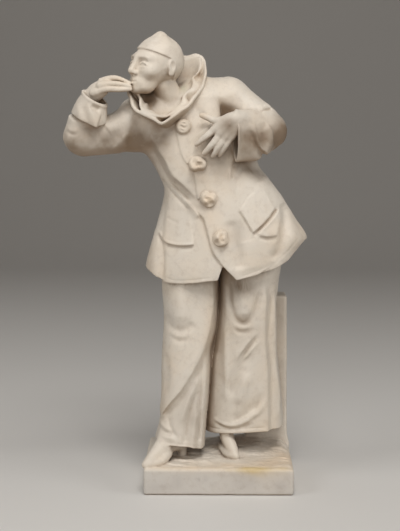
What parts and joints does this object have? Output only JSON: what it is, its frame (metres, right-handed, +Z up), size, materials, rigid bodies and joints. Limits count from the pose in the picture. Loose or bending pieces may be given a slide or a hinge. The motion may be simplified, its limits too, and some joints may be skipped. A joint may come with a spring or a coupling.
{
  "type": "marble figure statuette",
  "caption": "Carved marble statuette of a leaning figure in loose stage costume, ruff and close cap, a hand to the lips and the other on the chest, on a block base with a rear support.",
  "frame": {"origin": "centre of the block base's flat underside, which is what the statuette stands on", "axes": "+Z up, -Y the front of the base, +X towards the figure's left hand"},
  "size_m": [0.392, 0.206, 0.742],
  "materials": {
    "marble": "rubbed satin marble, warm white with faint grey veins"
  },
  "bodies": {
    "root": {"marble_statue": "marble"}
  },
  "joints": []
}
